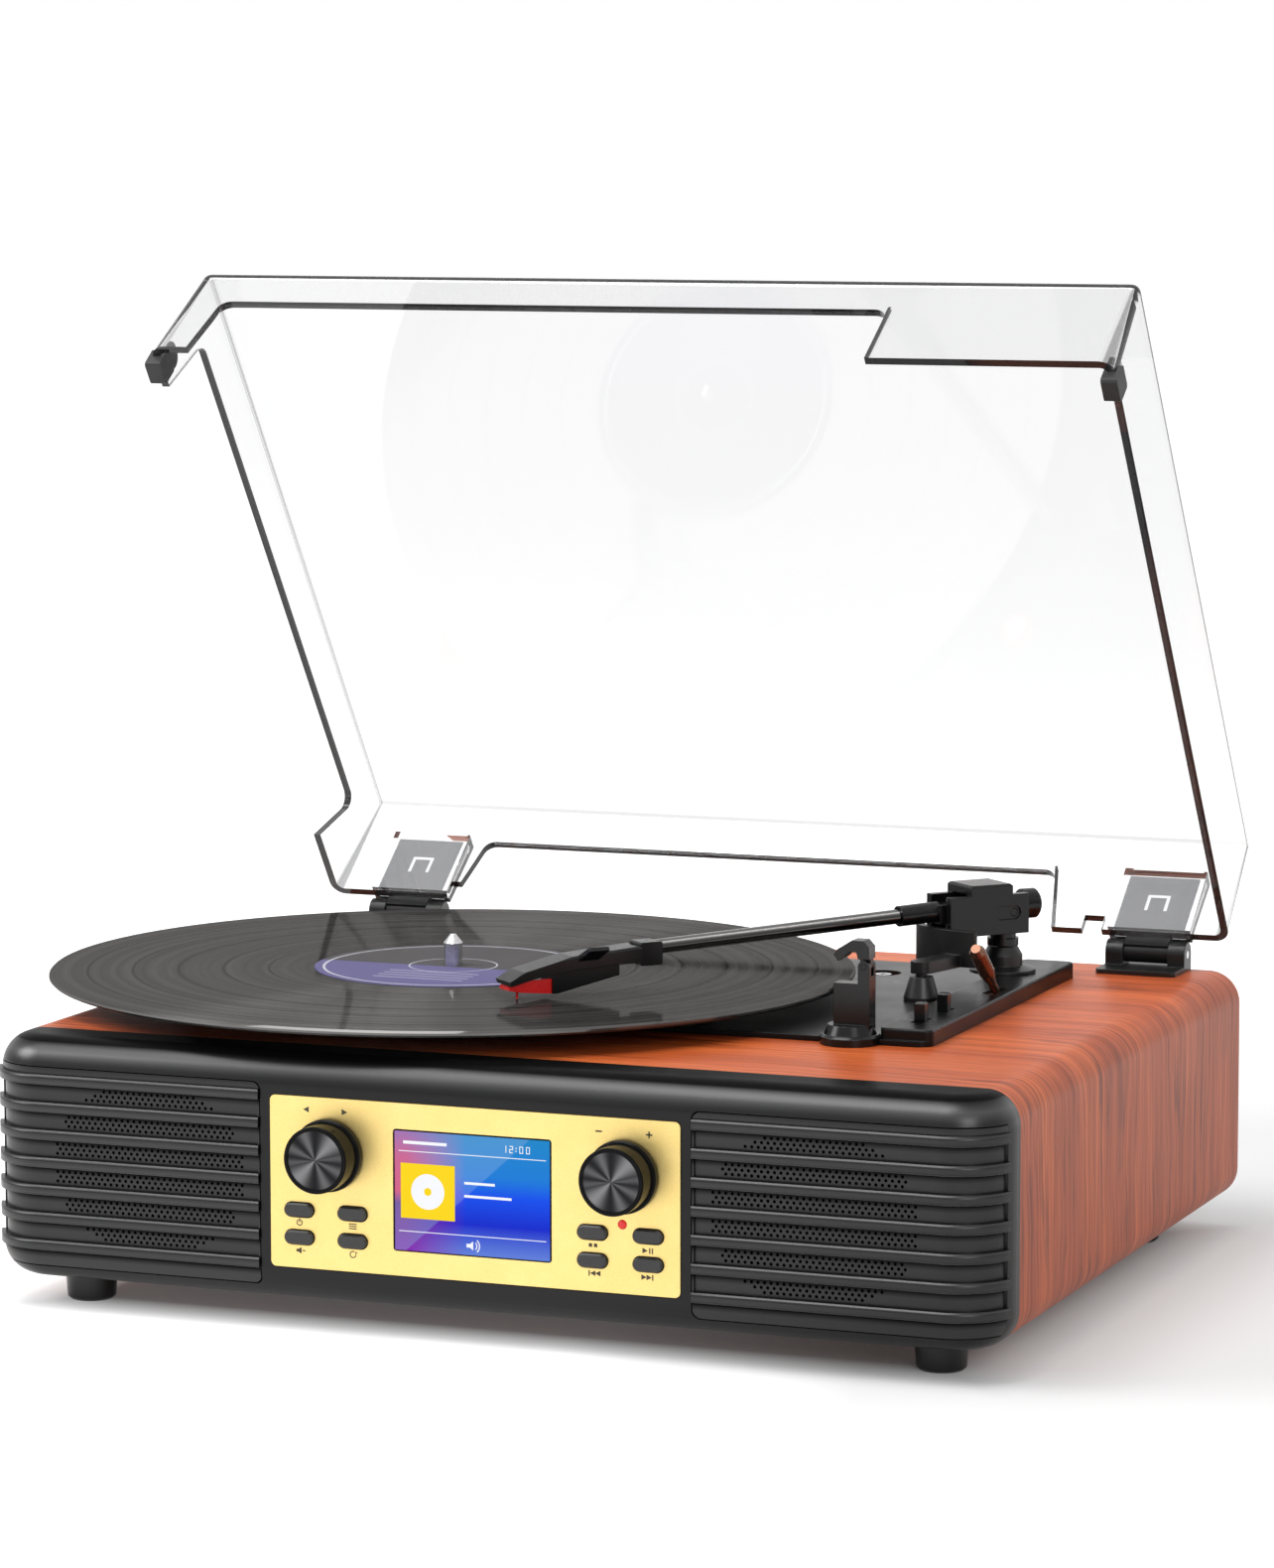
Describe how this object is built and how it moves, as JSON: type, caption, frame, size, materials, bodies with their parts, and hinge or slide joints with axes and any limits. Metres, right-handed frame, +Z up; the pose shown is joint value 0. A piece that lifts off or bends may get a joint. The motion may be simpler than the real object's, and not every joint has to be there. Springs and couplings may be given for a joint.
{
  "type": "turntable record player",
  "caption": "Retro record player: wood cabinet with front speakers, screen and knobs, disc on the platter, tonearm and clear hinged lid standing open.",
  "frame": {"origin": "on the spindle axis, level with the top of the record's label, where the free end of the spindle starts", "axes": "+Z up along the spindle, +X to the right seen from the front, front faces -Y"},
  "size_m": [0.4135, 0.351, 0.3658],
  "materials": {
    "wood_film": "satin wood film",
    "black_satin": "satin",
    "gold_metal": "fine satin",
    "dark_glass": "polished",
    "clear_lid": "clear polished",
    "gloss_black": "polished",
    "button_grey": "satin",
    "vinyl": "grooved",
    "label_paper": "printed paper",
    "felt": "felt",
    "steel": "brushed",
    "light_metal": "turned",
    "copper_metal": "satin",
    "red_plastic": "polished",
    "grey_plastic": "satin",
    "rubber": "matte",
    "board": "lacquered",
    "lamp": "clear"
  },
  "bodies": {
    "base": {"cabinet_shell": "wood_film", "front_bezel": "black_satin", "grille_left": "black_satin", "grille_right": "black_satin", "rear_panel": "black_satin", "panel_screws": "steel", "control_plate": "gold_metal", "display_window": "dark_glass", "display_panel": "gloss_black", "control_board": "board", "main_board": "board", "encoders": "light_metal", "speakers": "steel", "speaker_cones": "felt", "power_led": "lamp", "feet": "black_satin", "deck_plate": "black_satin", "deck_screw": "steel", "platter_bearing": "steel", "motor": "steel", "drive_belt": "rubber", "tonearm_base": "black_satin", "lift_base": "black_satin", "arm_rest": "gloss_black", "hinge_bases": "black_satin", "hinge_pins": "steel", "dc_inlet": "gloss_black", "audio_jacks": "light_metal"},
    "turning_platter": {"platter": "light_metal", "slip_mat": "felt", "record": "vinyl", "record_label": "label_paper", "spindle": "steel"},
    "turning_pulley": {"motor_pulley": "light_metal"},
    "arm_housing": {"tonearm_yoke": "gloss_black"},
    "arm": {"pivot_block": "gloss_black", "arm_tube": "gloss_black", "headshell": "gloss_black", "cartridge": "gloss_black", "stylus": "red_plastic", "counterweight": "gloss_black"},
    "arm_lift": {"lift_arc": "black_satin"},
    "lever": {"cue_lever": "copper_metal"},
    "clip": {"arm_clip": "gloss_black"},
    "speed_slide": {"speed_switch": "gloss_black"},
    "autostop_slide": {"autostop_switch": "gloss_black"},
    "cover": {"lid": "clear_lid", "hinge_leaves": "grey_plastic", "lid_bumpers": "rubber"},
    "tune": {"tune_knob": "gloss_black"},
    "volume": {"volume_knob": "gloss_black"},
    "press_standby": {"button_standby": "button_grey"},
    "press_menu": {"button_menu": "button_grey"},
    "press_mute": {"button_mute": "button_grey"},
    "press_repeat": {"button_repeat": "button_grey"},
    "press_mode": {"button_mode": "button_grey"},
    "press_play": {"button_play": "button_grey"},
    "press_previous": {"button_previous": "button_grey"},
    "press_next": {"button_next": "button_grey"}
  },
  "joints": [
    {"name": "lid_hinge", "type": "hinge", "parent": "base", "child": "cover", "pos_m": [0.0713, 0.151, -0.0043], "axis": [1, 0, 0], "range_deg": [0, 54.5]},
    {"name": "platter_spin", "type": "hinge", "parent": "base", "child": "turning_platter", "pos_m": [0, 0, 0], "axis": [0, 0, 1], "continuous": true},
    {"name": "motor_spin", "type": "hinge", "parent": "base", "child": "turning_pulley", "pos_m": [-0.0537, 0.0537, -0.0155], "axis": [0, 0, 1], "continuous": true},
    {"name": "tonearm_swing", "type": "hinge", "parent": "base", "child": "arm_housing", "pos_m": [0.188, 0.088, 0], "axis": [0, 0, 1], "range_deg": [-8.5, 36.9]},
    {"name": "tonearm_lift", "type": "hinge", "parent": "arm_housing", "child": "arm", "pos_m": [0.188, 0.088, 0.019], "axis": [-0.749, 0.6626, 0], "range_deg": [0, 4.6]},
    {"name": "cue_lever_turn", "type": "hinge", "parent": "base", "child": "lever", "pos_m": [0.2, 0.045, -0.007], "axis": [-1, 0, 0], "range_deg": [0, 60]},
    {"name": "arm_lift_rise", "type": "slide", "parent": "base", "child": "arm_lift", "axis": [0, 0, 1], "range_m": [0, 0.00266]},
    {"name": "arm_clip_turn", "type": "hinge", "parent": "base", "child": "clip", "pos_m": [0.1826, -0.054, 0.0175], "axis": [0, 1, 0], "range_deg": [0, 95]},
    {"name": "speed_slide_move", "type": "slide", "parent": "base", "child": "speed_slide", "axis": [0, 1, 0], "range_m": [-0.004, 0.004]},
    {"name": "autostop_slide_move", "type": "slide", "parent": "base", "child": "autostop_slide", "axis": [0, 1, 0], "range_m": [0, 0.005]},
    {"name": "tune_turn", "type": "hinge", "parent": "base", "child": "tune", "pos_m": [0.0171, -0.157, -0.0446], "axis": [0, -1, 0], "continuous": true},
    {"name": "volume_turn", "type": "hinge", "parent": "base", "child": "volume", "pos_m": [0.128, -0.157, -0.0446], "axis": [0, -1, 0], "continuous": true},
    {"name": "standby_press", "type": "slide", "parent": "base", "child": "press_standby", "axis": [0, 1, 0], "range_m": [0, 0.0008], "stiffness_N_per_m": 400, "springref_m": -0.0008},
    {"name": "menu_press", "type": "slide", "parent": "base", "child": "press_menu", "axis": [0, 1, 0], "range_m": [0, 0.0008], "stiffness_N_per_m": 400, "springref_m": -0.0008},
    {"name": "mute_press", "type": "slide", "parent": "base", "child": "press_mute", "axis": [0, 1, 0], "range_m": [0, 0.0008], "stiffness_N_per_m": 400, "springref_m": -0.0008},
    {"name": "repeat_press", "type": "slide", "parent": "base", "child": "press_repeat", "axis": [0, 1, 0], "range_m": [0, 0.0008], "stiffness_N_per_m": 400, "springref_m": -0.0008},
    {"name": "mode_press", "type": "slide", "parent": "base", "child": "press_mode", "axis": [0, 1, 0], "range_m": [0, 0.0008], "stiffness_N_per_m": 400, "springref_m": -0.0008},
    {"name": "play_press", "type": "slide", "parent": "base", "child": "press_play", "axis": [0, 1, 0], "range_m": [0, 0.0008], "stiffness_N_per_m": 400, "springref_m": -0.0008},
    {"name": "previous_press", "type": "slide", "parent": "base", "child": "press_previous", "axis": [0, 1, 0], "range_m": [0, 0.0008], "stiffness_N_per_m": 400, "springref_m": -0.0008},
    {"name": "next_press", "type": "slide", "parent": "base", "child": "press_next", "axis": [0, 1, 0], "range_m": [0, 0.0008], "stiffness_N_per_m": 400, "springref_m": -0.0008}
  ],
  "couplings": [
    {"joint": "motor_spin", "follows": "platter_spin", "ratio": 10.649},
    {"joint": "cue_lever_turn", "follows": "tonearm_lift", "ratio": 13},
    {"joint": "arm_lift_rise", "follows": "tonearm_lift", "m_per_rad": 0.033}
  ]
}
